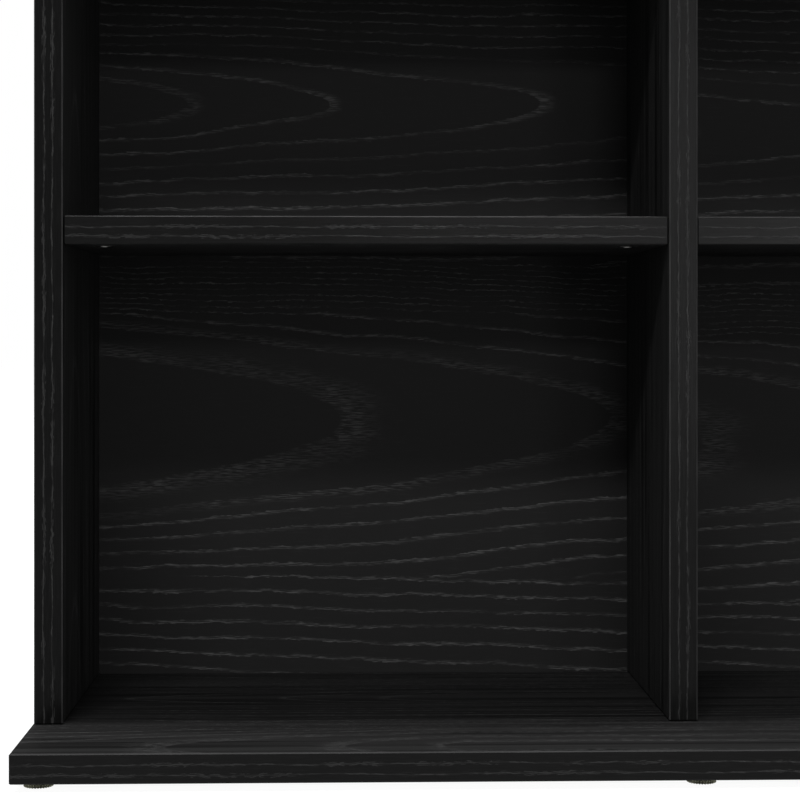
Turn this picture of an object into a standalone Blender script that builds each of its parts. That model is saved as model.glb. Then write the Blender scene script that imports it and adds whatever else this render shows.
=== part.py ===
"""Tall open cabinet for compact discs, in black oak board, on levelling feet.

Metres, with +Z up, +X to the right and +Y to the back, as seen from the front.
The origin is on the floor, under the middle of the cabinet's width and depth.
"""

import math

import bmesh
import bpy
from mathutils import Vector

# The whole cabinet. The base board is deeper than the carcass that stands on it.
OVERALL_WIDTH = 1.020
OVERALL_HEIGHT = 1.775
BASE_DEPTH = 0.230
CARCASS_DEPTH = 0.160
BASE_OVERHANG = 0.001
LOWEST_ROW_HEIGHT = 0.252
SHELVES_PER_COLUMN = 9
COLUMN_NAMES = ("left", "middle", "right")
FOOT_ROWS = ("front", "rear")

# Each upright, and the face that its cam locks are in: -1 is its left face, 1 its right one.
UPRIGHTS = (("side_left", 1), ("divider_left", -1), ("divider_right", 1), ("side_right", -1))

# The boards, and how they meet.
BOARD_THICKNESS = 0.015
EDGE_CHAMFER = 0.0006
SEAT_GAP = 0.0003
SHELF_SETBACK = 0.002

# The back panels, which slide in grooves.
PANEL_THICKNESS = 0.003
PANEL_REAR_INSET = 0.006
GROOVE_DEPTH = 0.004

# The bores for the cam locks that draw the boards together. The middle column's shelves have none.
# They stand on dowels between the dividers.
CAM_LOCKED_COLUMNS = ("left", "right")
CAM_BORE_RADIUS = 0.0063
CAM_BORE_FLOOR = 0.0035
CAM_BORE_SIDES = 12
CAM_FROM_BOARD_END = 0.018
CAM_FROM_BOARD_EDGE = 0.028

# The levelling feet: a knurled disc on a screw, which turns in a sleeve let into the base board.
FOOT_HEIGHT = 0.005
FOOT_RADIUS = 0.0075
FOOT_CHAMFER = 0.0004
KNURL_TEETH = 30
KNURL_DEPTH = 0.0008
SCREW_RADIUS = 0.003
SCREW_CHAMFER = 0.0006
SCREW_SIDES = 12
SLEEVE_WALL = 0.0015
SLEEVE_RIM_WIDTH = 0.0015
SLEEVE_RIM_THICKNESS = 0.001
SLEEVE_COVER = 0.0025
FOOT_FROM_BASE_EDGE = 0.020
OUTER_FOOT_FROM_BASE_END = 0.0115

# What the modelling itself needs.
CUT_OVERRUN = 0.002
MERGE_DISTANCE = 0.00001
SHARP_ANGLE = math.radians(30)

# Places that follow from the sizes above.
COLUMN_COUNT = len(COLUMN_NAMES)
CARCASS_WIDTH = OVERALL_WIDTH - 2 * BASE_OVERHANG
COLUMN_WIDTH = (CARCASS_WIDTH - (COLUMN_COUNT + 1) * BOARD_THICKNESS) / COLUMN_COUNT
COLUMN_PITCH = COLUMN_WIDTH + BOARD_THICKNESS
BASE_FRONT = -BASE_DEPTH / 2
REAR = BASE_DEPTH / 2
CARCASS_FRONT = REAR - CARCASS_DEPTH
PANEL_REAR = REAR - PANEL_REAR_INSET
PANEL_FRONT = PANEL_REAR - PANEL_THICKNESS
SHELF_FRONT = CARCASS_FRONT + SHELF_SETBACK
SHELF_REAR = PANEL_FRONT - SEAT_GAP
BASE_BOTTOM = FOOT_HEIGHT
BASE_TOP = BASE_BOTTOM + BOARD_THICKNESS
TOP_BOTTOM = OVERALL_HEIGHT - BOARD_THICKNESS
UPPER_ROWS_HEIGHT = TOP_BOTTOM - BASE_TOP - LOWEST_ROW_HEIGHT
ROW_PITCH = UPPER_ROWS_HEIGHT / SHELVES_PER_COLUMN
CAM_BORE_DEPTH = BOARD_THICKNESS - CAM_BORE_FLOOR
SLEEVE_LENGTH = BOARD_THICKNESS - SLEEVE_COVER
SLEEVE_BORE_RADIUS = SCREW_RADIUS + SEAT_GAP
SLEEVE_RADIUS = SLEEVE_BORE_RADIUS + SLEEVE_WALL
SLEEVE_RIM_RADIUS = SLEEVE_RADIUS + SLEEVE_RIM_WIDTH


def clear_scene():
    """Removes whatever a new file or an earlier run left."""
    for leftover in list(bpy.data.objects):
        bpy.data.objects.remove(leftover, do_unlink=True)


def new_collection(name):
    collection = bpy.data.collections.new(name)
    bpy.context.scene.collection.children.link(collection)
    return collection


def new_material(name, colour, roughness, metallic):
    material = bpy.data.materials.new(name)
    material.use_nodes = True
    shader = material.node_tree.nodes["Principled BSDF"]
    shader.inputs["Base Color"].default_value = (*colour, 1)
    shader.inputs["Roughness"].default_value = roughness
    shader.inputs["Metallic"].default_value = metallic
    return material


def place(name, mesh, location, collection, material=None):
    """A new object with this mesh, its origin at the location."""
    placed = bpy.data.objects.new(name, mesh)
    placed.location = location
    collection.objects.link(placed)
    if material and not mesh.materials:
        mesh.materials.append(material)
    return placed


def box_between(name, low, high, collection, material=None):
    """A box between two opposite corners, its origin in its middle."""
    low, high = Vector(low), Vector(high)
    mesh = bpy.data.meshes.new(name)
    shape = bmesh.new()
    bmesh.ops.create_cube(shape, size=1)
    bmesh.ops.scale(shape, vec=high - low, verts=shape.verts)
    shape.to_mesh(mesh)
    shape.free()
    return place(name, mesh, (low + high) / 2, collection, material)


def board_between(name, low, high):
    """A board with its edges eased."""
    board = box_between(name, low, high, cabinet, black_oak)
    chamfer = board.modifiers.new("eased_edges", "BEVEL")
    chamfer.width = EDGE_CHAMFER
    chamfer.segments = 1
    return board


def turned(name, profile, steps, closed=False):
    """A shape turned round Z from points of radius and height that run down its outer side."""
    edges = [(i, i + 1) for i in range(len(profile) - 1)]
    if closed:
        edges.append((len(profile) - 1, 0))
    mesh = bpy.data.meshes.new(name)
    mesh.from_pydata([(radius, 0, height) for radius, height in profile], edges, [])
    shape = place(name, mesh, (0, 0, 0), cutters)
    turn = shape.modifiers.new("turn", "SCREW")
    turn.steps = steps
    turn.render_steps = steps
    turn.use_merge_vertices = True
    turn.merge_threshold = MERGE_DISTANCE
    return shape


def as_cutter(shape):
    shape.hide_render = True
    shape.display_type = "WIRE"
    return shape


def combine(target, tool, operation):
    boolean = target.modifiers.new(operation.lower() + "_" + tool.name, "BOOLEAN")
    boolean.operation = operation
    boolean.object = tool


def finished_mesh(shape, name, *tools):
    """The shape's mesh with its modifiers applied. The shape and its tools are removed."""
    shape.data.name = name + "_rough"
    evaluated = shape.evaluated_get(bpy.context.evaluated_depsgraph_get())
    mesh = bpy.data.meshes.new_from_object(evaluated)
    mesh.name = name
    for used in (shape, *tools):
        bpy.data.objects.remove(used, do_unlink=True)
    return mesh


def shade_round(mesh):
    mesh.shade_smooth()
    mesh.set_sharp_from_angle(angle=SHARP_ANGLE)


def upright_centre(index):
    """X of an upright's middle, counted from the left side."""
    return -CARCASS_WIDTH / 2 + BOARD_THICKNESS / 2 + index * COLUMN_PITCH


def column_centre(index):
    return upright_centre(index) + COLUMN_PITCH / 2


def column_faces(index):
    """The faces of an upright that a column lies against: -1 is its left face, 1 its right one."""
    faces = [-1] if index > 0 else []
    return faces + [1] if index < COLUMN_COUNT else faces


def foot_x(index):
    """X of the foot that stands under an upright. The outer ones stand in from the base board's ends."""
    outer = OVERALL_WIDTH / 2 - OUTER_FOOT_FROM_BASE_END
    return max(-outer, min(outer, upright_centre(index)))


def foot_y(row):
    edge, inwards = (BASE_FRONT, 1) if row == "front" else (REAR, -1)
    return edge + inwards * FOOT_FROM_BASE_EDGE


def foot_places():
    """Each foot's row, number from the left and place, at the base board's underside."""
    for row in FOOT_ROWS:
        for index in range(COLUMN_COUNT + 1):
            yield row, index + 1, (foot_x(index), foot_y(row), BASE_BOTTOM)


def cam_bore(name, mouth, into):
    """Cutter for a cam bore, from its mouth on a board's face into the board."""
    length = CAM_BORE_DEPTH + CUT_OVERRUN
    mesh = bpy.data.meshes.new(name)
    shape = bmesh.new()
    bmesh.ops.create_cone(
        shape,
        cap_ends=True,
        segments=CAM_BORE_SIDES,
        radius1=CAM_BORE_RADIUS,
        radius2=CAM_BORE_RADIUS,
        depth=length,
    )
    shape.to_mesh(mesh)
    shape.free()
    into = Vector(into)
    middle = Vector(mouth) + into * (length / 2 - CUT_OVERRUN)
    bore = place(name, mesh, middle, cutters)
    bore.rotation_euler = into.to_track_quat("Z", "Y").to_euler()
    return as_cutter(bore)


def panel_groove(name, low, high):
    """Cutter for a groove that takes the back panels' edge, from front to rear of their thickness."""
    low = (low[0], PANEL_FRONT - SEAT_GAP, low[1])
    high = (high[0], PANEL_REAR + SEAT_GAP, high[1])
    return as_cutter(box_between(name, low, high, cutters))


def foot_sleeve_seat():
    """Shape of the stepped bore that takes a foot's sleeve, mouth at the origin."""
    top = SLEEVE_LENGTH + SEAT_GAP
    step = SLEEVE_RIM_THICKNESS + SEAT_GAP
    profile = [
        (0, top),
        (SLEEVE_RADIUS + SEAT_GAP, top),
        (SLEEVE_RADIUS + SEAT_GAP, step),
        (SLEEVE_RIM_RADIUS + SEAT_GAP, step),
        (SLEEVE_RIM_RADIUS + SEAT_GAP, -CUT_OVERRUN),
        (0, -CUT_OVERRUN),
    ]
    return finished_mesh(turned("sleeve_seat", profile, SCREW_SIDES), "sleeve_seat")


def build_base_board():
    """The deep base board, with a groove for the back panels and bores for the feet's sleeves."""
    low = (-OVERALL_WIDTH / 2, BASE_FRONT, BASE_BOTTOM)
    high = (OVERALL_WIDTH / 2, REAR, BASE_TOP)
    base = board_between("base_board", low, high)
    groove_end = CARCASS_WIDTH / 2 - BOARD_THICKNESS + GROOVE_DEPTH
    low = (-groove_end, BASE_TOP - GROOVE_DEPTH)
    high = (groove_end, BASE_TOP + CUT_OVERRUN)
    combine(base, panel_groove("base_groove", low, high), "DIFFERENCE")
    seat = foot_sleeve_seat()
    for row, number, location in foot_places():
        name = f"sleeve_seat_{row}_{number}"
        combine(base, as_cutter(place(name, seat, location, cutters)), "DIFFERENCE")


def build_top_board():
    """The top board, which lies on the uprights and holds the panels' upper edges."""
    low = (-CARCASS_WIDTH / 2, CARCASS_FRONT, TOP_BOTTOM)
    high = (CARCASS_WIDTH / 2, REAR, OVERALL_HEIGHT)
    top = board_between("top_board", low, high)
    groove_end = CARCASS_WIDTH / 2 - BOARD_THICKNESS + GROOVE_DEPTH
    low = (-groove_end, TOP_BOTTOM - CUT_OVERRUN)
    high = (groove_end, TOP_BOTTOM + GROOVE_DEPTH)
    combine(top, panel_groove("top_groove", low, high), "DIFFERENCE")


def build_upright(index, name, cam_side):
    """A side or divider: grooved on each face that meets a column, with cam bores at its top."""
    centre = upright_centre(index)
    half = BOARD_THICKNESS / 2
    foot, head = BASE_TOP + SEAT_GAP, TOP_BOTTOM - SEAT_GAP
    upright = board_between(name, (centre - half, CARCASS_FRONT, foot), (centre + half, REAR, head))
    for side in column_faces(index):
        bottom = centre + side * (half - GROOVE_DEPTH)
        mouth = centre + side * (half + CUT_OVERRUN)
        low = (min(bottom, mouth), foot - CUT_OVERRUN)
        high = (max(bottom, mouth), head + CUT_OVERRUN)
        combine(upright, panel_groove(f"{name}_groove_{side}", low, high), "DIFFERENCE")
    cam_height = head - CAM_FROM_BOARD_END
    cam_face = centre + cam_side * half
    for row, depth in (
        ("front", CARCASS_FRONT + CAM_FROM_BOARD_EDGE),
        ("rear", PANEL_FRONT - CAM_FROM_BOARD_EDGE),
    ):
        bore = cam_bore(f"{name}_cam_{row}", (cam_face, depth, cam_height), (-cam_side, 0, 0))
        combine(upright, bore, "DIFFERENCE")


def shelf_mesh(name, cam_ends):
    """One shelf round its own middle, with a cam bore near its front edge under each end given."""
    half_length = COLUMN_WIDTH / 2 - SEAT_GAP
    half_depth = (SHELF_REAR - SHELF_FRONT) / 2
    half_thickness = BOARD_THICKNESS / 2
    corner = Vector((half_length, half_depth, half_thickness))
    shelf = board_between(name, -corner, corner)
    bores = []
    for end in cam_ends:
        mouth = (
            end * (half_length - CAM_FROM_BOARD_END),
            CAM_FROM_BOARD_EDGE - half_depth,
            -half_thickness,
        )
        bores.append(cam_bore(f"{name}_cam_{end}", mouth, (0, 0, 1)))
        combine(shelf, bores[-1], "DIFFERENCE")
    return finished_mesh(shelf, name, *bores)


def build_shelves():
    cam_locked, plain = shelf_mesh("cam_locked_shelf", (-1, 1)), shelf_mesh("plain_shelf", ())
    depth_middle = (SHELF_FRONT + SHELF_REAR) / 2
    lowest = BASE_TOP + LOWEST_ROW_HEIGHT + BOARD_THICKNESS / 2
    for column, column_name in enumerate(COLUMN_NAMES):
        mesh = cam_locked if column_name in CAM_LOCKED_COLUMNS else plain
        for level in range(SHELVES_PER_COLUMN):
            location = (column_centre(column), depth_middle, lowest + level * ROW_PITCH)
            place(f"shelf_{column_name}_{level + 1}", mesh, location, cabinet, black_oak)


def build_back_panels():
    """One thin panel behind each column, its edges in the grooves all round."""
    tongue = GROOVE_DEPTH - SEAT_GAP
    half_width = COLUMN_WIDTH / 2 + tongue
    for column, column_name in enumerate(COLUMN_NAMES):
        centre = column_centre(column)
        low = (centre - half_width, PANEL_FRONT, BASE_TOP - tongue)
        high = (centre + half_width, PANEL_REAR, TOP_BOTTOM + tongue)
        box_between(f"back_panel_{column_name}", low, high, cabinet, black_oak_panel)


def foot_disc():
    """The foot's disc, its rim knurled by drawing in every second line of points."""
    top, bottom = -SEAT_GAP, -FOOT_HEIGHT
    face_radius = FOOT_RADIUS - FOOT_CHAMFER
    profile = [
        (0, top),
        (face_radius, top),
        (FOOT_RADIUS, top - FOOT_CHAMFER),
        (FOOT_RADIUS, bottom + FOOT_CHAMFER),
        (face_radius, bottom),
        (0, bottom),
    ]
    lines = 2 * KNURL_TEETH
    mesh = finished_mesh(turned("foot_disc", profile, lines), "foot_disc")
    valley_share = (FOOT_RADIUS - KNURL_DEPTH) / FOOT_RADIUS
    for vertex in mesh.vertices:
        line = round(math.atan2(vertex.co.y, vertex.co.x) / math.tau * lines)
        if line % 2:
            vertex.co.x *= valley_share
            vertex.co.y *= valley_share
    return place("foot_disc", mesh, (0, 0, 0), cutters)


def foot_mesh():
    """The knurled disc joined to its screw, with the origin on the axis at the base's underside."""
    disc = foot_disc()
    inside_disc = -FOOT_HEIGHT / 2
    profile = [
        (0, SLEEVE_LENGTH),
        (SCREW_RADIUS - SCREW_CHAMFER, SLEEVE_LENGTH),
        (SCREW_RADIUS, SLEEVE_LENGTH - SCREW_CHAMFER),
        (SCREW_RADIUS, inside_disc),
        (0, inside_disc),
    ]
    screw = turned("foot_screw", profile, SCREW_SIDES)
    combine(disc, screw, "UNION")
    mesh = finished_mesh(disc, "levelling_foot", screw)
    shade_round(mesh)
    return mesh


def sleeve_mesh():
    """The sleeve that the foot's screw turns in, its rim flush with the base's underside."""
    profile = [
        (SLEEVE_RADIUS, SLEEVE_LENGTH),
        (SLEEVE_RADIUS, SLEEVE_RIM_THICKNESS),
        (SLEEVE_RIM_RADIUS, SLEEVE_RIM_THICKNESS),
        (SLEEVE_RIM_RADIUS, 0),
        (SLEEVE_BORE_RADIUS, 0),
        (SLEEVE_BORE_RADIUS, SLEEVE_LENGTH),
    ]
    mesh = finished_mesh(turned("sleeve", profile, SCREW_SIDES, closed=True), "foot_sleeve")
    shade_round(mesh)
    return mesh


def build_feet():
    """A foot and its sleeve at the front and rear of the base under each upright."""
    foot, sleeve = foot_mesh(), sleeve_mesh()
    for row, number, location in foot_places():
        place(f"levelling_foot_{row}_{number}", foot, location, cabinet, bronzed_metal)
        place(f"foot_sleeve_{row}_{number}", sleeve, location, cabinet, zinc_plate)


clear_scene()
cabinet = new_collection("cd_cabinet")
cutters = new_collection("cutters")
black_oak = new_material("black_oak", (0.014, 0.014, 0.014), 0.5, 0)
black_oak_panel = new_material("black_oak_panel", (0.012, 0.012, 0.012), 0.55, 0)
bronzed_metal = new_material("bronzed_metal", (0.18, 0.16, 0.10), 0.35, 1)
zinc_plate = new_material("zinc_plate", (0.55, 0.55, 0.53), 0.4, 1)
build_base_board()
build_top_board()
for index, (name, cam_side) in enumerate(UPRIGHTS):
    build_upright(index, name, cam_side)
build_shelves()
build_back_panels()
build_feet()
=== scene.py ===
"""The looks of a tall open cabinet for compact discs: black oak decor, metal feet and fittings.

Metres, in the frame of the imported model, with +Z up, +X to the right and +Y to the back.
"""

import math

import bmesh
import bpy
from mathutils import Matrix, Vector


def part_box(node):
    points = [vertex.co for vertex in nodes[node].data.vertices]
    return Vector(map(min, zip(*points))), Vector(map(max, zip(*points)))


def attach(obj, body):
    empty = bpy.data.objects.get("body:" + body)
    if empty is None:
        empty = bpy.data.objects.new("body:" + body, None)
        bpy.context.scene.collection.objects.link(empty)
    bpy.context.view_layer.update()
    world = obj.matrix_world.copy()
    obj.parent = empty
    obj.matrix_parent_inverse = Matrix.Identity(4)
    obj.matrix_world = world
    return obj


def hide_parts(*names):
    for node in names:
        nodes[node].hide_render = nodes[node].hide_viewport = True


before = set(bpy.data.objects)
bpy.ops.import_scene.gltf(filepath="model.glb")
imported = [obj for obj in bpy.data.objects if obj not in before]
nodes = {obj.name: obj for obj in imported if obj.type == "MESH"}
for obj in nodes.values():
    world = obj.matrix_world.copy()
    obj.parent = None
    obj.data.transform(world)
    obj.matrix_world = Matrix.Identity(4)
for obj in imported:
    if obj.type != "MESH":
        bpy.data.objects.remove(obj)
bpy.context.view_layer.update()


def middle(name, axis):
    """The middle of a node's box along an axis."""
    return sum(getattr(corner, axis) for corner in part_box(name)) / 2


# The photograph's viewpoint.
CAMERA_PLACE = (-0.3470, -1.0498, 0.2242)
CAMERA_TILT = math.radians(90)
CAMERA_TURN = math.radians(-1.5659)
CAMERA_LENS_MM = 85.931
CAMERA_SHIFT = (0.00570, -0.08119)
CAMERA_CLIP_START = 0.05

# The light: an even sky, and lamps in front and above. The two strips make the shelves' two shadows on
# the back. Each lamp is given by its name, place, target, width and height, and power in watts.
SKY_LEVEL = 0.26
BACKGROUND_LEVEL = 1.0
LAMPS = (
    ("low_strip", (0.30, -7.0, 2.81), (-0.30, 0, 0.25), (1.1, 0.35), 76),
    ("high_strip", (-1.55, -5.0, 4.82), (-0.30, 0, 0.25), (3.0, 0.45), 325),
    ("overhead", (-0.20, -0.02, 6.0), (-0.20, -0.02, 0.0), (3.0, 0.45), 605),
    ("front_soft", (0.14, -4.0, 0.85), (-0.20, 0, 0.3), (0.9, 0.6), 10),
    ("front_fill", (1.20, -4.6, 0.25), (-0.20, 0, 0.3), (0.6, 0.4), 18),
)

# The floor. Its tones set the light that it throws back. Its glow is what is seen of it, straight or in
# a reflection, and lights nothing dull.
FLOOR_SIZE = 12
FLOOR_PATCH = 0.4
FLOOR_TONES = (0.14, 0.16)
FLOOR_ROUGHNESS = 0.9
FLOOR_GLOW = 0.95

# The boards. Those of a kind repeat along an axis, from the middle of the first one, at a pitch.
UPRIGHT_NAMES = ("side_left", "divider_left", "divider_right", "side_right")
COLUMN_NAMES = ("left", "middle", "right")
SHELF_ROWS = 9
FIRST_UPRIGHT_X = middle("side_left", "x")
UPRIGHT_PITCH = middle("divider_left", "x") - FIRST_UPRIGHT_X
FIRST_SHELF_Z = middle("shelf_left_1", "z")
SHELF_PITCH = middle("shelf_left_2", "z") - FIRST_SHELF_Z
BASE_Z = middle("base_board", "z")
TOP_Z = middle("top_board", "z")
UPRIGHTS = ("x", FIRST_UPRIGHT_X, UPRIGHT_PITCH)
SHELVES = ("z", FIRST_SHELF_Z, SHELF_PITCH)
DECKS = ("z", BASE_Z, TOP_Z - BASE_Z)

# The golden section, which spreads what is numbered evenly and without a pattern.
GOLDEN = 0.6180

# The decor sheet: growth rings nested in arches round hearts that lie along the grain. Every second
# heart is narrow. The openings are for a wide heart, then for a narrow one.
HEART_PITCH = 0.191
HEART_OPENINGS = (0.0100, 0.0035)
TIP_STEP = 0.185
TIP_SPREAD = 0.35
FIRST_RING = 0.0380
NARROW_FIRST_RING = 0.0135

# The rings are widely spaced near a heart and closer beyond. Those of the first heart keep the look of
# wide ones a little further out.
WIDE_RINGS_TO = 0.0555
WIDE_RING_SPACING = 0.0175
RING_SPACING = 0.0085
WIDE_RING_MARGIN = 0.004
FIRST_HEART_MARGIN = 0.006

# Above some hearts the rings crowd together, from these heights for a wide heart and a narrow one.
CROWDED_FROM = (0.064, 0.030)
CROWDED_SPACING = 0.0052
CROWDED_START = 0.95
CROWDED_HEARTS = (0.35, 0.80)
NARROW_CROWDING = 0.65

# Below each heart the rings sag in waves along the grain. The sag dies out between these two heights.
SAG_LENGTH = 0.360
SAG_DEPTH = 0.0085
SAG_HEIGHTS = (-0.105, -0.055)

# A ring's light band, in shares of the space between rings: its sharp side, then its soft side. It is
# thinner at the arch's tip, where the ring crosses the grain, and outside the wide rings. Each ring has
# its own tone, and there is none inside the first.
BAND_START = (0.0, 0.06)
BAND_END = (0.14, 0.50)
BAND_AT_TIP = 0.25
CLOSE_BAND = 0.60
FIRST_BAND = (-0.05, 0.0)
RING_TONE_START = 0.75
RING_TONES = (0.02, 0.34)
FAINTEST_RING = 0.3
WIDE_RING_FADE = 0.45
CLOSE_RING_FILL = 0.15

# Noise is given by how long its features are and how wide. A bend also has its reach sideways, and
# patches have the two levels of noise that they rise between. Where a noise doesn't vary across, its
# width is 1. Numbers added to a seed only keep one noise apart from the next.
SLOW_BEND = (0.130, 0.060, 0.011)
QUICK_BEND = (0.016, 0.010, 0.0030)
SHIVER = (0.0035, 0.0012, 0.0024)
PORES = (0.0080, 0.00055, 0.47, 0.57)
GRAIN_PATCHES = (0.040, 0.012, 0.36, 0.55)
FAINTEST_GRAIN = 0.35
STRAY_PORES = (0.016, 0.0008, 0.58, 0.80)
STRAY_PORE_TONE = 0.08

# Where each board's face is cut from the sheet: shares that change with the board and with the column.
CUT_SPREAD = 0.45
CUT_COLUMN_STEP = 0.37
SHIFT_BOARD_STEP = 0.33
SHIFT_COLUMN_STEP = 0.21
COLUMN_SEED_STEP = 11

# Where each back panel is cut from the sheet: along the grain, then across it.
LEFT_PANEL_START = -0.494
LEFT_PANEL_HEART = 0.173
PANEL_CUTS = ((0.0, 0.0), (0.115, 0.015), (0.240, 0.062))

# The base board's top has finer rings. Its arch opens to the right from near the front left corner.
BASE_TIP_X = -0.383
BASE_HEART_Y = -0.102
BASE_FINENESS = 1.5
BASE_FIRST_RING = 0.012
BASE_SEED = 4.0

# Long streaks along the broad faces: how long and how wide, and how much darker than the ground and how
# much lighter.
UPRIGHT_STREAKS = (0.40, 0.0075, 0.75, 0.12)
SHELF_STREAKS = (0.30, 0.0100, 0.55, 0.12)
BASE_STREAKS = (0.70, 0.0075, 0.50, 0.08)
STREAK_ROUGHNESS = 0.75
STREAK_PATCHES = (0.2, 0.05, 0.35, 0.6)
FAINTEST_STREAK = 0.4
DARK_STREAKS = (0.50, 0.60)
LIGHT_STREAKS = (0.36, 0.46)

# The looks of the broad faces: the greys of the ground and of the lightest grain, sheen and roughness.
# The uprights and shelves have a lighter grey than the base and top boards: painted light in the shade
# inside, and painted shade on the decks, which the overhead lamp lights strongly.
UPRIGHT_TONES = (0.0160, 0.052, 0.05, 0.42)
SHELF_TONES = (0.0175, 0.075, 0.05, 0.42)
TOP_TONES = (0.0102, 0.044, 0.05, 0.42)
BASE_TONES = (0.0102, 0.044, 0.004, 0.60)
PANEL_TONES = (0.0099, 0.051, 0.035, 0.50)
GRAIN_SMOOTHER = 0.08
GRAIN_RELIEF = (0.0001, 0.5)

# The edge bands: where their two light lines run, counted from the board's middle, the ground's grey,
# and where their row of tones starts. The tones lie between two multiples of the ground. The decks'
# lighter ground, and the start that makes the dividers' edges lighter than the sides', are painted
# light besides each board's own tone.
UPRIGHT_EDGE = ((-0.0024, 0.0022), 0.0031, 0.25)
SHELF_EDGE = ((0.00175, -0.00335), 0.0036, 0.8)
DECK_EDGE = ((0.00175, -0.00335), 0.0057, 0.3)
EDGE_TONE_RANGE = (0.85, 1.45)
EDGE_GRAIN = 0.025
EDGE_SHEEN = 0.045
EDGE_ROUGHNESS = 0.21
EDGE_SEED_STEP = 3.7
LINE_SEED_STEP = 5.3

# An edge band's line wanders, swells and fades. In its knotty parts a broken loop runs beside it.
LINE_WANDER = (0.050, 1.0, 0.0030)
LINE_SHIVER = (0.0045, 0.0030, 0.0012)
SWELL_LENGTH = 0.006
SWELL_FROM = 0.3
SWELL_REACH = 0.0006
LINE_SOFT_SIDE = (0.0, 0.00035)
LINE_PATCHES = (0.007, 0.004, 0.38, 0.56)
FAINTEST_LINE = 0.35
KNOTTY_PARTS = (0.045, 1.0, 0.47, 0.56)
LOOP_PLACE = 0.0007
LOOP_SHIVER = (0.0040, 0.0020, 0.0016)
LOOP_SOFT_SIDE = (0.00005, 0.00035)
LOOP_PATCHES = (0.0045, 0.0012, 0.46, 0.54)
LOOP_TONE = 0.85
EDGE_FIBRES = (0.014, 0.0005, 0.40, 0.75)
EDGE_FIBRE_TONE = 0.10

# The eased corners, by the axis that they run along: the greys where they are sound and where worn.
# The lighter worn patches and the light greys of the corners along Z are partly painted highlight. The
# dark greys along Y, which the corners at the ends and below the decks take, are painted shade.
ARRIS_TONES = {"x": (0.009, 0.017), "y": (0.003, 0.008), "z": (0.019, 0.038)}
ARRIS_WEAR_AND_HIGHLIGHT = (0.030, 1.0, 0.25, 0.65)
ARRIS_SEED_X = 13
ARRIS_SEED_Y = 40
ARRIS_ROUGHNESS = 0.42

# The backing paper, and the core of pressed chips. Each has two colours, the roughness that goes with
# each of them, and a relief's depth and strength.
BACKING_FIBRES = (0.004, 0.0012, 0.35, 0.75)
BACKING_SEED = 2.0
BACKING_COLOURS = ((0.010, 0.010, 0.010, 1), (0.021, 0.020, 0.019, 1))
BACKING_ROUGHNESS = (0.72, 0.82)
BACKING_SHEEN = 0.2
BACKING_RELIEF = (0.0001, 0.4)
CHIP_SIZE = 0.0012
CORE_COLOURS = ((0.12, 0.08, 0.045, 1), (0.30, 0.21, 0.13, 1))
CORE_ROUGHNESS = (0.85, 0.75)
CORE_RELIEF = (0.0003, 0.6)

# The metals: a dark and a light tone, the roughness, and the size of the patches that they change over.
ZINC = ((0.060, 0.060, 0.058, 1), (0.125, 0.125, 0.120, 1), 0.20, 0.004)
BRONZE = ((0.072, 0.073, 0.052, 1), (0.165, 0.167, 0.120, 1), 0.45, 0.002)
METAL_ROUGHER = 0.15
METAL_RELIEF = (0.00003, 0.5)
METAL_SHARP_FROM = math.radians(35)
MIXED_LEVELS = (0.3, 0.7)

# A board's materials: the first three for the faces that look along X, Y and Z, then these. The last is
# the dark finish of the corners at the ends and below the decks, which is painted shade.
LONG_ARRIS, BORE, SHADE_PAINTED_ARRIS = 3, 4, 5

# How much of a face's normal lies along an axis when it looks along it, when it looks to the rear, and
# when it slopes that way. Then how near a face lies to a plane that it is in.
SQUARE_ON = 0.999
REARWARD = 0.9
SLOPING = 0.1
SAME_PLANE = 0.00005

# The cam locks, and the bores that they sit in. The dish's slope is a share of its depth, and the middle
# of the rounded edge lies in by a share of the rounding.
CAM_LOCKED_COLUMNS = ("left", "right")
CAM_BORE_REACH = 0.0135
CAM_RADIUS = 0.0060
CAM_PROUD = 0.0001
CAM_DEPTH = 0.0105
CAM_RIM = 0.0009
CAM_DISH = 0.0005
CAM_DISH_SLOPE = 0.6
CAM_ROUND = 0.00015
CAM_ROUND_MIDDLE = 0.3
CAM_TURN_SPREAD = 0.6
FITTING_STEPS = 48
CROSS_ARM = 0.0032
CROSS_WIDTH = 0.0013
CROSS_DEPTH = 0.0028
CROSS_DRAW = 0.6
SHELF_CAM_FROM_MIDDLE = 0.141367
SHELF_CAM_Y = -0.015
UPRIGHT_CAM_Z = 1.7417
UPRIGHT_CAMS_Y = (-0.017, 0.078)
UPRIGHT_CAM_SIDES = (1, -1, 1, -1)

# The screws through the base board.
BASE_SCREWS_Y = (-0.015, 0.060)
SCREW_HEAD_RADIUS = 0.0048
SCREW_HEAD_PROUD = 0.0003
SCREW_HEAD_CHAMFER = 0.00018
SCREW_HEAD_SUNK = 0.0004
SOCKET_RADIUS = 0.0023

# The levelling feet: a knurled disc a little below the board, and its screw.
FOOT_ROWS = ("front", "rear")
FOOT_GAP = 0.0003
FOOT_RADIUS = 0.0075
FOOT_FACE_RADIUS = 0.0045
FOOT_ROUND = 0.00025
FOOT_ROUND_STEPS = 3
FOOT_TEETH = 30
TOOTH_DEPTH = 0.0013
TOOTH_STEPS = 6
STUD_FLATNESS = 0.45
KNURL_PITCH = 0.0026
KNURL_LOWEST = 0.0003
KNURL_ROWS = 14
NOTCH_HEIGHT = 0.0012
SCREW_INTO_DISC = 0.001
THREAD_RADIUS = 0.0029
THREAD_DEPTH = 0.0005
THREAD_PITCH = 0.0010
THREAD_STEPS = 24
THREAD_ROWS_PER_TURN = 6
THREAD_CHAMFER = 0.0007
THREAD_CHAMFER_ROWS = 3


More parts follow.
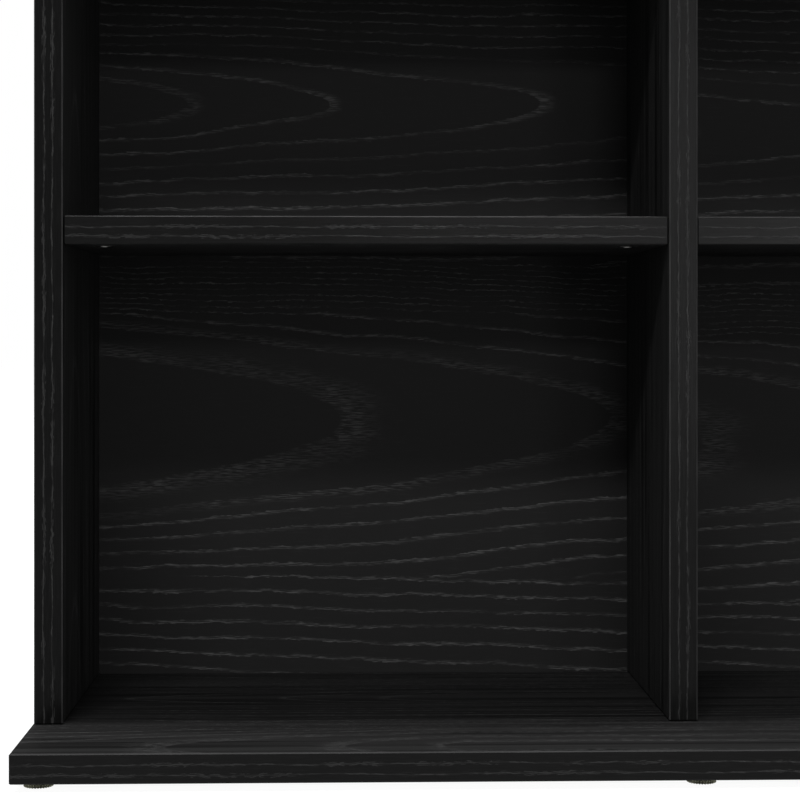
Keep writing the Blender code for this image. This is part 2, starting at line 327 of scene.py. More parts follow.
class Value:
    """A number that the shader works out at each point. Each sum on it is a Math node."""

    def __init__(self, graph, socket):
        self.graph = graph
        self.socket = socket

    def __add__(self, other):
        return self.graph.math("ADD", self, other)

    def __sub__(self, other):
        return self.graph.math("SUBTRACT", self, other)

    def __mul__(self, other):
        return self.graph.math("MULTIPLY", self, other)

    def __truediv__(self, other):
        return self.graph.math("DIVIDE", self, other)

    def __rsub__(self, other):
        return self.graph.math("SUBTRACT", other, self)

    __radd__ = __add__
    __rmul__ = __mul__

    def absolute(self):
        return self.graph.math("ABSOLUTE", self)

    def cosine(self):
        return self.graph.math("COSINE", self)

    def floor(self):
        return self.graph.math("FLOOR", self)

    def fraction(self):
        return self.graph.math("FRACT", self)

    def root(self):
        return self.graph.math("SQRT", self)

    def at_least(self, other):
        return self.graph.math("MAXIMUM", self, other)

    def at_most(self, other):
        return self.graph.math("MINIMUM", self, other)

    def between(self, low, high):
        """Goes from low to high as this value goes from 0 to 1."""
        return self * (high - low) + low

    def rise(self, start, end):
        """From 0 before start to 1 after end, smoothly."""
        node = self.graph.node("ShaderNodeMapRange")
        node.interpolation_type = "SMOOTHSTEP"
        self.graph.feed(node.inputs["Value"], self)
        node.inputs["From Min"].default_value = start
        node.inputs["From Max"].default_value = end
        return Value(self.graph, node.outputs["Result"])

    def fall(self, start, end):
        """From 1 before start to 0 after end, smoothly."""
        return 1 - self.rise(start, end)


class Graph:
    """A new material on the Principled shader, with the nodes that drive it."""

    def __init__(self, name):
        self.material = bpy.data.materials.new(name)
        self.material.use_nodes = True
        self.tree = self.material.node_tree
        self.shader = self.tree.nodes["Principled BSDF"]
        place = self.node("ShaderNodeSeparateXYZ")
        self.tree.links.new(self.node("ShaderNodeTexCoord").outputs["Object"], place.inputs[0])
        self.x, self.y, self.z = (Value(self, place.outputs[axis]) for axis in "XYZ")

    def node(self, kind):
        return self.tree.nodes.new(kind)

    def feed(self, socket, value):
        """Gives a socket a number, or links it to a value that the shader works out."""
        if isinstance(value, Value):
            self.tree.links.new(value.socket, socket)
        else:
            socket.default_value = value

    def math(self, operation, *values):
        node = self.node("ShaderNodeMath")
        node.operation = operation
        for socket, value in zip(node.inputs, values):
            self.feed(socket, value)
        return Value(self, node.outputs[0])

    def noise(self, along, across, seed, detail=2.0, roughness=0.5):
        """Soft noise from 0 to 1, its features one unit across."""
        place = self.node("ShaderNodeCombineXYZ")
        for socket, value in zip(place.inputs, (along, across, seed)):
            self.feed(socket, value)
        node = self.node("ShaderNodeTexNoise")
        self.tree.links.new(place.outputs[0], node.inputs["Vector"])
        node.inputs["Scale"].default_value = 1
        node.inputs["Detail"].default_value = detail
        node.inputs["Roughness"].default_value = roughness
        return Value(self, node.outputs["Fac"])

    def bend(self, along, across, seed, length, width, reach):
        """Noise that moves a line to either side, over a distance of its reach in all."""
        return (self.noise(along / length, across / width, seed) - 0.5) * reach

    def patches(self, along, across, seed, length, width, start, end, detail=2.0):
        """Patches of 1 on a ground of 0, soft at their borders."""
        return self.noise(along / length, across / width, seed, detail).rise(start, end)

    def colour(self, name, share, first, second):
        """Mixes two colours into a socket of the shader."""
        node = self.node("ShaderNodeMix")
        node.data_type = "RGBA"
        self.feed(node.inputs["Factor"], share)
        node.inputs["A"].default_value = first
        node.inputs["B"].default_value = second
        self.tree.links.new(node.outputs["Result"], self.shader.inputs[name])

    def bump(self, height, distance, strength):
        node = self.node("ShaderNodeBump")
        node.inputs["Distance"].default_value = distance
        node.inputs["Strength"].default_value = strength
        self.feed(node.inputs["Height"], height)
        self.tree.links.new(node.outputs["Normal"], self.shader.inputs["Normal"])

    def set(self, name, value):
        self.feed(self.shader.inputs[name], value)


def grey(level):
    """A colour with the same level in each part."""
    return (level, level, level, 1)


def nearest(value, first, pitch):
    """The number of the board or heart nearest to a place, and the place counted from its middle."""
    index = ((value - first) / pitch + 0.5).floor()
    return index, value - (index * pitch + first)


def is_number(value, number):
    """1 where a whole value is this number, and 0 where it is any other."""
    return 1 - (value - number).absolute().at_most(1)


def sagged(along, height):
    """The height over a heart, moved by the waves in which the lower rings sag."""
    wave = (along * (math.tau / SAG_LENGTH)).cosine() * -0.5 + 0.5
    return height + wave * height.fall(*SAG_HEIGHTS) * SAG_DEPTH


def crowding(heart, narrow, height):
    """How many rings more than usual lie below this height over a heart."""
    crowded = (heart * GOLDEN + CROWDED_START).fraction().rise(*CROWDED_HEARTS)
    above = (height - narrow.between(*CROWDED_FROM)).at_least(0)
    return above / CROWDED_SPACING * crowded * narrow.between(1, NARROW_CROWDING)


def arch_rings(along, bent, first_ring):
    """The growth rings at a place on the sheet.

    Gives the number of the nearest heart, the count of rings from it, 1 inside the wide rings, and 1
    where the rings run along the grain, less where they cross it.
    """
    heart, height = nearest(bent, 0.0, HEART_PITCH)
    narrow = (heart * 0.5).fraction() * 2
    tip = (heart * (heart - 1) * TIP_STEP).fraction() * TIP_SPREAD
    behind_tip = (along + tip).at_least(0)
    height = sagged(along, height)
    radius = (height * height + narrow.between(*HEART_OPENINGS) * behind_tip).root()
    wide_to = narrow.between(WIDE_RINGS_TO, NARROW_FIRST_RING)
    closer = (radius - wide_to).at_least(0) * (1 / RING_SPACING - 1 / WIDE_RING_SPACING)
    first = narrow.between(first_ring, NARROW_FIRST_RING)
    count = (radius - first) / WIDE_RING_SPACING + closer + crowding(heart, narrow, height)
    margin = is_number(heart, 0) * FIRST_HEART_MARGIN + wide_to + WIDE_RING_MARGIN
    wide = (margin - radius).rise(0.0, WIDE_RING_MARGIN)
    return heart, count, wide, (height.absolute() / radius).between(BAND_AT_TIP, 1)


def ring_bands(heart, count, wide, slope):
    """The rings' light bands, each as strong as its own tone."""
    ring = count.floor()
    share = (count - ring) / (slope * (wide + CLOSE_BAND))
    tone = (ring * GOLDEN + heart * 0.5 + RING_TONE_START).fraction().rise(*RING_TONES)
    band = share.rise(*BAND_START) * share.fall(*BAND_END)
    return band * tone.between(FAINTEST_RING, 1) * count.rise(*FIRST_BAND)


def decor_grain(graph, along, across, seed, first_ring=FIRST_RING):
    """How much light grain the decor sheet shows at a place, from 0 to 1."""
    bent = (
        across
        + graph.bend(along, across, seed, *SLOW_BEND)
        + graph.bend(along, across, seed, *QUICK_BEND)
        + graph.bend(along, across, seed + 5, *SHIVER)
    )
    heart, count, wide, slope = arch_rings(along, bent, first_ring)
    bands = ring_bands(heart, count, wide, slope)
    filled = (1 - wide) * CLOSE_RING_FILL
    pores = graph.patches(along, across, seed, *PORES, detail=1.0).between(filled, 1)
    patches = graph.patches(along, across, seed + 7, *GRAIN_PATCHES).between(FAINTEST_GRAIN, 1)
    stray = graph.patches(along, across, seed + 3, *STRAY_PORES, detail=1.0) * STRAY_PORE_TONE
    return bands * pores * patches * (1 - wide * WIDE_RING_FADE) + stray


def edge_line(graph, along, across, place, seed):
    """One light line of an edge band, at its place across the band, and the loops beside it."""
    wander = graph.bend(along, 0.0, seed, *LINE_WANDER)
    shiver = graph.bend(along, across, seed + 1, *LINE_SHIVER)
    off = (across - place + wander + shiver).absolute()
    swell = (graph.noise(along / SWELL_LENGTH, 0.0, seed + 2) - SWELL_FROM) * SWELL_REACH
    strand = (off - swell).fall(*LINE_SOFT_SIDE)
    whole = graph.patches(along, across, seed + 3, *LINE_PATCHES).between(FAINTEST_LINE, 1)
    knotty = graph.patches(along, 0.0, seed + 4, *KNOTTY_PARTS)
    bends = graph.bend(along, across, seed + 6, *LOOP_SHIVER)
    loop = (off - LOOP_PLACE + bends).absolute().fall(*LOOP_SOFT_SIDE)
    broken = graph.patches(along, across, seed + 7, *LOOP_PATCHES)
    return (strand * whole).at_least(loop * broken * knotty * LOOP_TONE)


def edge_grain(graph, along, across, seed, lines):
    """How much light grain the edge band shows at a place, from 0 to 1."""
    total = 0.0
    for number, place in enumerate(lines):
        line = edge_line(graph, along, across, place, seed + number * LINE_SEED_STEP)
        total = line.at_least(total)
    fibres = graph.patches(along, across, seed + 9, *EDGE_FIBRES, detail=1.0)
    return total + fibres * EDGE_FIBRE_TONE


def finish_oak(graph, grain, ground, light, sheen, roughness):
    """The decor's grey tones, its dull sheen and the pressed pores."""
    graph.set("Base Color", grain.at_most(1).between(ground, light))
    graph.set("Roughness", roughness - grain * GRAIN_SMOOTHER)
    graph.set("Specular IOR Level", sheen)
    graph.bump(grain, *GRAIN_RELIEF)
    return graph.material


def finish_face(graph, grain, along, across, seed, streaks, tones):
    """A broad face, which has long streaks besides its grain."""
    length, width, darker, lighter = streaks
    ground, light = tones[:2]
    streak = graph.noise(along / length, across / width, seed + 12, roughness=STREAK_ROUGHNESS)
    strength = graph.patches(along, across, seed + 13, *STREAK_PATCHES).between(FAINTEST_STREAK, 1)
    dark = streak.rise(*DARK_STREAKS) * strength * (darker * ground / (light - ground))
    return finish_oak(graph, grain - dark + streak.fall(*LIGHT_STREAKS) * lighter, *tones)


def column_at(graph):
    """The number of the column that a place lies in, from 0 at the left."""
    return ((graph.x - FIRST_UPRIGHT_X) / UPRIGHT_PITCH).floor()


def oak_face(name, grain_axis, boards, streaks, tones, by_column=False):
    """Decor on the broad faces of boards of a kind, each cut from its own place on the sheet."""
    board_axis, first, pitch = boards
    graph = Graph(name)
    index, _ = nearest(getattr(graph, board_axis), first, pitch)
    column = column_at(graph) if by_column else 0.0
    start = ((index * GOLDEN + column * CUT_COLUMN_STEP).fraction() + 1) * CUT_SPREAD
    shift = (index * SHIFT_BOARD_STEP + column * SHIFT_COLUMN_STEP).fraction() * HEART_PITCH
    seed = index + column * COLUMN_SEED_STEP
    along = getattr(graph, grain_axis) + start
    across = graph.y + shift
    grain = decor_grain(graph, along, across, seed)
    return finish_face(graph, grain, along, across, seed, streaks, tones)


def oak_base_face():
    """Decor on the base board's broad faces, with an arch near its front left corner."""
    graph = Graph("oak_base_face")
    tip = FIRST_RING * FIRST_RING / HEART_OPENINGS[0]
    along = (BASE_TIP_X - graph.x) * BASE_FINENESS + tip
    across = (graph.y - BASE_HEART_Y) * BASE_FINENESS
    grain = decor_grain(graph, along, across, BASE_SEED, BASE_FIRST_RING)
    return finish_face(graph, grain, graph.x, graph.y, BASE_SEED, BASE_STREAKS, BASE_TONES)


def oak_edge(name, grain_axis, boards, look):
    """Edge band on the narrow faces of boards of a kind."""
    board_axis, first, pitch = boards
    lines, ground, tone_start = look
    graph = Graph(name)
    index, off_middle = nearest(getattr(graph, board_axis), first, pitch)
    along = getattr(graph, grain_axis)
    grain = edge_grain(graph, along, off_middle, index * EDGE_SEED_STEP, lines)
    # Each board's own tone. With the starts above, it also carries painted light.
    tone = (index * GOLDEN + tone_start).fraction().between(*EDGE_TONE_RANGE) * ground
    return finish_oak(graph, grain, tone, EDGE_GRAIN, EDGE_SHEEN, EDGE_ROUGHNESS)


def oak_arris(name, axis):
    """The eased corners that run along an axis, lighter in patches: rubbed decor and painted highlight.
    """
    graph = Graph(name)
    along = getattr(graph, axis)
    seed = graph.y * ARRIS_SEED_Y + graph.x * ARRIS_SEED_X
    wear_and_highlight = graph.patches(along, 0.0, seed, *ARRIS_WEAR_AND_HIGHLIGHT, detail=3.0)
    return finish_oak(graph, wear_and_highlight, *ARRIS_TONES[axis], EDGE_SHEEN, ARRIS_ROUGHNESS)


def oak_panel():
    """The back panels' face, each column cut from its own place on the sheet."""
    graph = Graph("oak_panel_face")
    column = column_at(graph)
    along = graph.x - LEFT_PANEL_START - column * UPRIGHT_PITCH
    across = graph.z - LEFT_PANEL_HEART
    for number, (cut_along, cut_across) in enumerate(PANEL_CUTS):
        here = is_number(column, number)
        along = along + here * cut_along
        across = across + here * cut_across
    return finish_oak(graph, decor_grain(graph, along, across, column), *PANEL_TONES)


def panel_backing():
    """The back panels' rear: plain black backing paper with short fibres."""
    graph = Graph("panel_backing")
    fibres = graph.patches(graph.x, graph.z, BACKING_SEED, *BACKING_FIBRES, detail=3.0)
    graph.colour("Base Color", fibres, *BACKING_COLOURS)
    graph.set("Roughness", fibres.between(*BACKING_ROUGHNESS))
    graph.set("Specular IOR Level", BACKING_SHEEN)
    graph.bump(fibres, *BACKING_RELIEF)
    return graph.material


def raw_board():
    """The board's core where it is bored: pressed chips."""
    graph = Graph("raw_board")
    chips = graph.noise(graph.x / CHIP_SIZE, graph.z / CHIP_SIZE, graph.y / CHIP_SIZE, 4.0)
    graph.colour("Base Color", chips.rise(*MIXED_LEVELS), *CORE_COLOURS)
    graph.set("Roughness", chips.between(*CORE_ROUGHNESS))
    graph.bump(chips, *CORE_RELIEF)
    return graph.material


def metal(name, dark, light, roughness, patch):
    """Plated metal, its tone uneven over patches of the size given."""
    graph = Graph(name)
    tone = graph.noise(graph.x / patch, graph.y / patch, graph.z / patch, 4.0)
    graph.colour("Base Color", tone.rise(*MIXED_LEVELS), dark, light)
    graph.set("Metallic", 1.0)
    graph.set("Roughness", roughness + tone * METAL_ROUGHER)
    graph.bump(tone, *METAL_RELIEF)
    return graph.material


def dress(obj, choose, *materials):
    """Gives the object these materials. choose gives a face's number, from its middle and normal."""
    obj.data.materials.clear()
    for material in materials:
        obj.data.materials.append(material)
    for face in obj.data.polygons:
        face.material_index = choose(face.center, face.normal)


def first_one(centre, normal):
    """Chooses the first material for every face."""
    return 0


def main_axis(normal):
    """The axis that a face looks along, or None for a sloping one."""
    for axis in range(3):
        if abs(normal[axis]) > SQUARE_ON:
            return axis
    return None


def near_any(centre, places, reach):
    """True for a face whose middle is nearer than the reach to one of the places."""
    return any((centre - place).length < reach for place in places)


def on_board_face(centre, bores):
    """True for a face that lies in the plane of a bore's mouth, not inside the bore."""
    return any(min(abs(offset) for offset in centre - bore) < SAME_PLANE for bore in bores)


def shelf_cam_places(shelf):
    """The mouths of a shelf's cam bores, in its underside. The middle column's shelves have none."""
    low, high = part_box(shelf)
    middle_x = (low.x + high.x) / 2
    if shelf.split("_")[1] in CAM_LOCKED_COLUMNS:
        for end in (-1, 1):
            yield Vector((middle_x + end * SHELF_CAM_FROM_MIDDLE, SHELF_CAM_Y, low.z))


def upright_cam_places(name, side):
    """The mouths of an upright's two cam bores, in the face on that side."""
    low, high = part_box(name)
    for y in UPRIGHT_CAMS_Y:
        yield Vector((high.x if side > 0 else low.x, y, UPRIGHT_CAM_Z))


def board_chooser(length_axis, bores=(), shade_painted_below=False):
    """Chooses a material for a board's face, by the axis that it looks along or from the other three."""

    def choose(centre, normal):
        if near_any(centre, bores, CAM_BORE_REACH) and not on_board_face(centre, bores):
            return BORE
        axis = main_axis(normal)
        if axis is not None:
            return axis
        at_end = abs(getattr(normal, length_axis)) > SLOPING
        # Corners at the ends, and below the decks, get the dark finish: painted shade.
        below = shade_painted_below and normal.z < -SLOPING
        return SHADE_PAINTED_ARRIS if at_end or below else LONG_ARRIS

    return choose


def dress_uprights(arrises, core):
    """The four uprights: their broad faces look along X, their edges along Y and their ends along Z."""
    face = oak_face("oak_upright_face", "z", UPRIGHTS, UPRIGHT_STREAKS, UPRIGHT_TONES)
    edge = oak_edge("oak_upright_edge", "z", UPRIGHTS, UPRIGHT_EDGE)
    end = oak_edge("oak_upright_end", "y", UPRIGHTS, UPRIGHT_EDGE)
    for name, side in zip(UPRIGHT_NAMES, UPRIGHT_CAM_SIDES):
        choose = board_chooser("z", list(upright_cam_places(name, side)))
        dress(nodes[name], choose, face, edge, end, arrises["z"], core, arrises["y"])


def dress_decks(arrises, core):
    """The base board and the top board. Their lower arrises take the dark finish of those at the ends:
    painted shade.
    """
    edge = oak_edge("oak_deck_edge", "x", DECKS, DECK_EDGE)
    end = oak_edge("oak_deck_end", "y", DECKS, DECK_EDGE)
    top_face = oak_face("oak_top_face", "x", DECKS, BASE_STREAKS, TOP_TONES)
    choose = board_chooser("x", shade_painted_below=True)
    for name, face in (("base_board", oak_base_face()), ("top_board", top_face)):
        dress(nodes[name], choose, end, edge, face, arrises["x"], core, arrises["y"])


def dress_shelves(arrises, core):
    """The shelves of the three columns."""
    face = oak_face("oak_shelf_face", "x", SHELVES, SHELF_STREAKS, SHELF_TONES, by_column=True)
    edge = oak_edge("oak_shelf_edge", "x", SHELVES, SHELF_EDGE)
    end = oak_edge("oak_shelf_end", "y", SHELVES, SHELF_EDGE)
    for column in COLUMN_NAMES:
        for row in range(1, SHELF_ROWS + 1):
            name = f"shelf_{column}_{row}"
            choose = board_chooser("x", list(shelf_cam_places(name)))
            dress(nodes[name], choose, end, edge, face, arrises["x"], core, arrises["y"])


def dress_panels():
    """The back panels: decor in front and at the edges, backing paper behind."""
    face, backing = oak_panel(), panel_backing()
    for column in COLUMN_NAMES:
        panel = nodes["back_panel_" + column]
        dress(panel, lambda centre, normal: int(normal.y > REARWARD), face, backing)


def dress_boards():
    """Decor on every board."""
    arrises = {axis: oak_arris("oak_arris_" + axis, axis) for axis in "xyz"}
    core = raw_board()
    dress_uprights(arrises, core)
    dress_decks(arrises, core)
    dress_shelves(arrises, core)
    dress_panels()


def new_piece(name, shape, material, body):
    """A finished bmesh as an object that rides on a body."""
    mesh = bpy.data.meshes.new(name)
    shape.to_mesh(mesh)
    shape.free()
    mesh.materials.append(material)
    piece = bpy.data.objects.new(name, mesh)
    bpy.context.scene.collection.objects.link(piece)
    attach(piece, body)
    return piece


def new_metal_piece(name, shape, material, body):
    """A piece that is shaded smooth but for its sharp edges."""
    piece = new_piece(name, shape, material, body)
    piece.data.shade_smooth()
    piece.data.set_sharp_from_angle(angle=METAL_SHARP_FROM)
    return piece


def lathe(shape, profile, steps, radius_at=None):
    """Adds a solid turned round Z, from points of radius and height that run down its outer side."""
    rings = []
    for radius, height in profile[1:-1]:
        ring = []
        for step in range(steps):
            angle = math.tau * step / steps
            reach = radius_at(radius, angle, height) if radius_at else radius
            ring.append(shape.verts.new((reach * math.cos(angle), reach * math.sin(angle), height)))
        rings.append(ring)
    top = shape.verts.new((0, 0, profile[0][1]))
    bottom = shape.verts.new((0, 0, profile[-1][1]))
    for step in range(steps):
        following = (step + 1) % steps
        shape.faces.new((top, rings[0][step], rings[0][following]))
        shape.faces.new((bottom, rings[-1][following], rings[-1][step]))
        for upper, lower in zip(rings, rings[1:]):
            shape.faces.new((upper[step], lower[step], lower[following], upper[following]))


def cross_cutter(arm, width, depth, above):
    """A cross whose arms draw in towards its bottom, from above the mouth down to its depth."""
    half = width / 2
    outline = [
        Matrix.Rotation(math.pi / 2 * turn, 3, "Z") @ Vector((along, across, 0))
        for turn in range(4)
        for along, across in ((half, -half), (arm, -half), (arm, half))
    ]
    shape = bmesh.new()
    top = [shape.verts.new((p.x, p.y, -above)) for p in outline]
    bottom = [shape.verts.new((p.x * CROSS_DRAW, p.y * CROSS_DRAW, depth)) for p in outline]
    shape.faces.new(top)
    shape.faces.new(list(reversed(bottom)))
    for i, corner in enumerate(top):
        following = (i + 1) % len(top)
        shape.faces.new((corner, bottom[i], bottom[following], top[following]))
    bmesh.ops.recalc_face_normals(shape, faces=shape.faces)
    return shape


def carved(shape, cutter):
    """The solid with the cutter taken away, as a mesh."""
    made = []
    for name, solid in (("solid", shape), ("cutter", cutter)):
        mesh = bpy.data.meshes.new(name)
        solid.to_mesh(mesh)
        solid.free()
        made.append(bpy.data.objects.new(name, mesh))
        bpy.context.scene.collection.objects.link(made[-1])
    cut = made[0].modifiers.new("cut", "BOOLEAN")
    cut.operation = "DIFFERENCE"
    cut.object = made[1]
    evaluated = made[0].evaluated_get(bpy.context.evaluated_depsgraph_get())
    result = bpy.data.meshes.new_from_object(evaluated)
    for helper in made:
        bpy.data.objects.remove(helper, do_unlink=True)
    return result


def cam_lock_mesh():
    """A cam lock round Z, its mouth at the origin and its body above, with a rim, a dish and a cross."""
    outer, inner = CAM_RADIUS - CAM_ROUND, CAM_RADIUS - CAM_RIM
    face, dish = -CAM_PROUD, CAM_DISH - CAM_PROUD
    round_middle = CAM_ROUND * CAM_ROUND_MIDDLE
    profile = [
        (0, CAM_DEPTH),
        (outer, CAM_DEPTH),
        (CAM_RADIUS, CAM_DEPTH - CAM_ROUND),
        (CAM_RADIUS, face + CAM_ROUND),
        (CAM_RADIUS - round_middle, face + round_middle),
        (outer, face),
        (inner, face),
        (inner - CAM_DISH * CAM_DISH_SLOPE, dish),
        (0, dish),
    ]
    lock = bmesh.new()
    lathe(lock, profile, FITTING_STEPS)
    return carved(lock, cross_cutter(CROSS_ARM, CROSS_WIDTH, CROSS_DEPTH, CAM_PROUD * 2))


def screw_head_mesh():
    """A flat screw head round Z, its seat at the origin, with a six-sided socket."""
    profile = [
        (0, SCREW_HEAD_SUNK),
        (SCREW_HEAD_RADIUS, SCREW_HEAD_SUNK),
        (SCREW_HEAD_RADIUS, SCREW_HEAD_CHAMFER - SCREW_HEAD_PROUD),
        (SCREW_HEAD_RADIUS - SCREW_HEAD_CHAMFER, -SCREW_HEAD_PROUD),
        (0, -SCREW_HEAD_PROUD),
    ]
    head = bmesh.new()
    lathe(head, profile, FITTING_STEPS)
    socket = bmesh.new()
    bmesh.ops.create_cone(
        socket,
        cap_ends=True,
        segments=6,
        radius1=SOCKET_RADIUS,
        radius2=SOCKET_RADIUS,
        depth=SCREW_HEAD_RADIUS,
    )
    return carved(head, socket)


def seated(shape, mesh, mouth, into, turn):
    """Adds a copy of the mesh at a bore's mouth, turned about its axis, its +Z into the board."""
    before = len(shape.verts)
    shape.from_mesh(mesh)
    shape.verts.ensure_lookup_table()
    facing = Vector(into).to_track_quat("Z", "Y").to_matrix().to_4x4()
    move = Matrix.Translation(mouth) @ facing @ Matrix.Rotation(turn, 4, "Z")
    bmesh.ops.transform(shape, matrix=move, verts=shape.verts[before:])


def varied(number):
    """A share from 0 to 1 that differs well from one number to the next."""
    return number * GOLDEN % 1


def build_cam_locks(zinc):
    """The cam locks of the outer columns' shelves, and those of the uprights' heads, as three pieces."""
    lock = cam_lock_mesh()
    for column in CAM_LOCKED_COLUMNS:
        shape = bmesh.new()
        for row in range(1, SHELF_ROWS + 1):
            for side, mouth in enumerate(shelf_cam_places(f"shelf_{column}_{row}")):
                seated(shape, lock, mouth, (0, 0, 1), varied(2 * row + side) * CAM_TURN_SPREAD)
        new_metal_piece("shelf_cam_locks_" + column, shape, zinc, "cabinet")
    shape = bmesh.new()
    for number, (name, side) in enumerate(zip(UPRIGHT_NAMES, UPRIGHT_CAM_SIDES)):
        for row, mouth in enumerate(upright_cam_places(name, side)):
            seated(shape, lock, mouth, (-side, 0, 0), varied(2 * number + row) * CAM_TURN_SPREAD)
    new_metal_piece("upright_cam_locks", shape, zinc, "cabinet")


def build_base_screws(zinc):
    """The heads of the screws that go up through the base board into the uprights."""
    head = screw_head_mesh()
    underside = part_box("base_board")[0].z
    shape = bmesh.new()
    for number, name in enumerate(UPRIGHT_NAMES):
        for row, y in enumerate(BASE_SCREWS_Y):
            mouth = (middle(name, "x"), y, underside)
            seated(shape, head, mouth, (0, 0, 1), varied(2 * number + row) * math.tau)
    new_metal_piece("base_screw_heads", shape, zinc, "cabinet")


def knurled(radius, angle, height):
    """A point's distance from the foot's axis, drawn in by two sets of slanting grooves that cross.

    They are deepest at the disc's lower edge, which they notch.
    """
    rim = max(0.0, (radius - FOOT_FACE_RADIUS) / (FOOT_RADIUS - FOOT_FACE_RADIUS))
    turns = angle * FOOT_TEETH / 2
    rise = math.pi * (height - KNURL_LOWEST) / KNURL_PITCH
    stud = abs(math.cos(turns + rise) * math.cos(turns - rise))
    deeper = 1 + max(0.0, 1 - height / NOTCH_HEIGHT)
    return radius - TOOTH_DEPTH * deeper * rim * (1 - stud**STUD_FLATNESS)


def foot_profile(top, bottom):
    """The disc's outline, with a rounded rim."""
    points = [(0, top), (FOOT_FACE_RADIUS, top)]
    for step in range(FOOT_ROUND_STEPS + 1):
        angle = math.pi / 2 * step / FOOT_ROUND_STEPS
        reach = FOOT_RADIUS - FOOT_ROUND * (1 - math.sin(angle))
        points.append((reach, top - FOOT_ROUND * (1 - math.cos(angle))))
    for row in range(1, KNURL_ROWS):
        share = row / KNURL_ROWS
        height = (top - FOOT_ROUND) * (1 - share) + (bottom + FOOT_ROUND) * share
        points.append((FOOT_RADIUS, height))
    for step in range(FOOT_ROUND_STEPS + 1):
        angle = math.pi / 2 * step / FOOT_ROUND_STEPS
        reach = FOOT_RADIUS - FOOT_ROUND * (1 - math.cos(angle))
        points.append((reach, bottom + FOOT_ROUND * (1 - math.sin(angle))))
    return points + [(FOOT_FACE_RADIUS, bottom), (0, bottom)]


def thread_profile(top, bottom):
    """The screw's outline, with enough rows to carry its thread, and a chamfer at its upper end."""
    rows = round((top - bottom) / THREAD_PITCH * THREAD_ROWS_PER_TURN)
    heights = [top + (bottom - top) * row / rows for row in range(rows + 1)]
    points = [(0, top), (THREAD_RADIUS - THREAD_CHAMFER, top)]
    points += [(THREAD_RADIUS, height) for height in heights[THREAD_CHAMFER_ROWS:]]
    return points + [(0, bottom)]


def threaded(radius, angle, height):
    """A point's distance from the screw's axis, on a single-start thread."""
    if radius < THREAD_RADIUS:
        return radius
    turn = (height / THREAD_PITCH - angle / math.tau) % 1
    return radius - THREAD_DEPTH * (1 - abs(2 * turn - 1))


def build_feet():
    """The knurled feet on their screws. Each takes the place of its node."""
    bronze = metal("bronzed_foot", *BRONZE)
    disc_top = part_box("base_board")[0].z - FOOT_GAP
    for row in FOOT_ROWS:
        for number in range(1, len(UPRIGHT_NAMES) + 1):
            node = f"levelling_foot_{row}_{number}"
            low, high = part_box(node)
            shape = bmesh.new()
            lathe(shape, foot_profile(disc_top, low.z), FOOT_TEETH * TOOTH_STEPS, knurled)
            screw = thread_profile(high.z, disc_top - SCREW_INTO_DISC)
            lathe(shape, screw, THREAD_STEPS, threaded)
            axis = (low + high) / 2
            bmesh.ops.translate(shape, vec=(axis.x, axis.y, 0), verts=shape.verts)
            name = f"knurled_foot_{row}_{number}"
            foot = new_metal_piece(name, shape, bronze, node)
            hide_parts(node)


def dress_sleeves(zinc):
    """The sleeves that the feet's screws turn in."""
    for name, node in nodes.items():
        if name.startswith("foot_sleeve"):
            dress(node, first_one, zinc)


def area_light(name, place, target, size, power):
    """A rectangular lamp that faces its target."""
    lamp = bpy.data.lights.new(name, "AREA")
    lamp.shape = "RECTANGLE"
    lamp.size, lamp.size_y = size
    lamp.energy = power
    holder = bpy.data.objects.new(name, lamp)
    holder.location = place
    holder.rotation_euler = (Vector(target) - Vector(place)).to_track_quat("-Z", "Y").to_euler()
    bpy.context.scene.collection.objects.link(holder)


def seen_directly(tree):
    """1 for rays that show a thing itself, straight or by way of metal and glass."""
    path = tree.nodes.new("ShaderNodeLightPath")
    total = path.outputs["Is Camera Ray"]
    for name in ("Is Glossy Ray", "Is Transmission Ray"):
        node = tree.nodes.new("ShaderNodeMath")
        node.operation = "MAXIMUM"
        tree.links.new(total, node.inputs[0])
        tree.links.new(path.outputs[name], node.inputs[1])
        total = node.outputs[0]
    return total


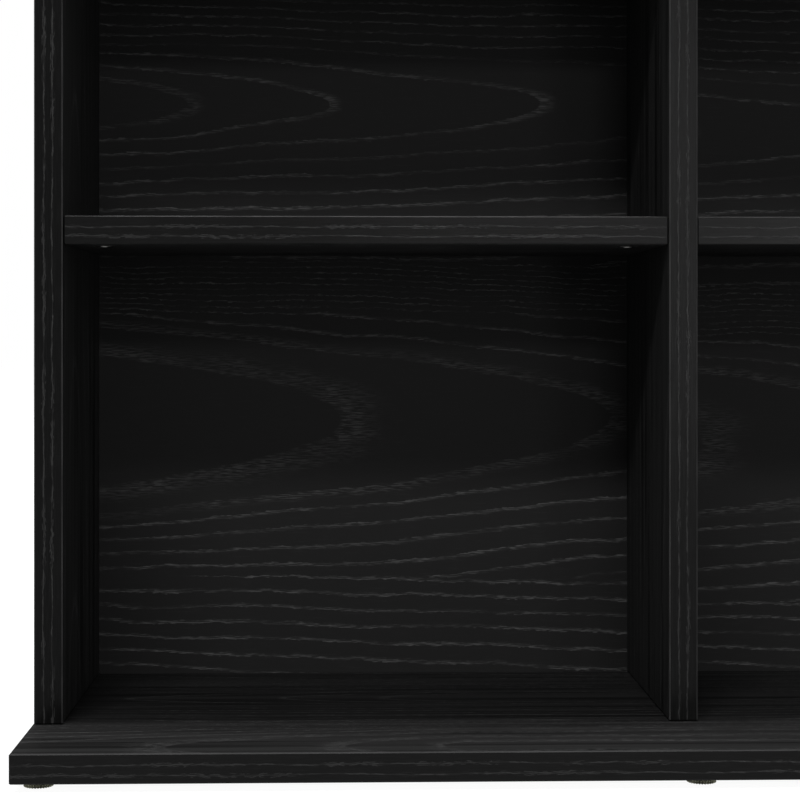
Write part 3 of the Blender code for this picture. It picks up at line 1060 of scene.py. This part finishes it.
def build_world():
    """A white background where it is seen, and a weaker sky as light."""
    world = bpy.data.worlds.new("studio")
    bpy.context.scene.world = world
    world.use_nodes = True
    tree = world.node_tree
    background = tree.nodes["Background"]
    background.inputs["Color"].default_value = grey(1)
    strength = tree.nodes.new("ShaderNodeMapRange")
    strength.inputs["To Min"].default_value = SKY_LEVEL
    strength.inputs["To Max"].default_value = BACKGROUND_LEVEL
    tree.links.new(seen_directly(tree), strength.inputs["Value"])
    tree.links.new(strength.outputs["Result"], background.inputs["Strength"])


def build_floor():
    """A floor that shows white but for the cabinet's soft shadow."""
    shape = bmesh.new()
    bmesh.ops.create_grid(shape, x_segments=4, y_segments=4, size=FLOOR_SIZE)
    mesh = bpy.data.meshes.new("floor")
    shape.to_mesh(mesh)
    shape.free()
    floor = bpy.data.objects.new("floor", mesh)
    bpy.context.scene.collection.objects.link(floor)
    graph = Graph("pale_floor")
    tone = graph.noise(graph.x / FLOOR_PATCH, graph.y / FLOOR_PATCH, 0.0)
    graph.colour("Base Color", tone, *(grey(level) for level in FLOOR_TONES))
    graph.set("Roughness", FLOOR_ROUGHNESS)
    graph.set("Specular IOR Level", 0.0)
    graph.set("Emission Color", grey(1))
    shown = Value(graph, seen_directly(graph.tree))
    graph.set("Emission Strength", shown * FLOOR_GLOW)
    mesh.materials.append(graph.material)


def build_camera():
    """The camera at the photograph's viewpoint, level, with a shifted lens."""
    lens = bpy.data.cameras.new("camera")
    lens.lens = CAMERA_LENS_MM
    lens.shift_x, lens.shift_y = CAMERA_SHIFT
    lens.clip_start = CAMERA_CLIP_START
    holder = bpy.data.objects.new("camera", lens)
    holder.location = CAMERA_PLACE
    holder.rotation_euler = (CAMERA_TILT, 0, CAMERA_TURN)
    bpy.context.scene.collection.objects.link(holder)
    bpy.context.scene.camera = holder


bpy.context.scene.view_settings.view_transform = "Standard"
dress_boards()
zinc_metal = metal("zinc_plate", *ZINC)
dress_sleeves(zinc_metal)
build_cam_locks(zinc_metal)
build_base_screws(zinc_metal)
build_feet()
for lamp in LAMPS:
    area_light(*lamp)
build_world()
build_floor()
build_camera()
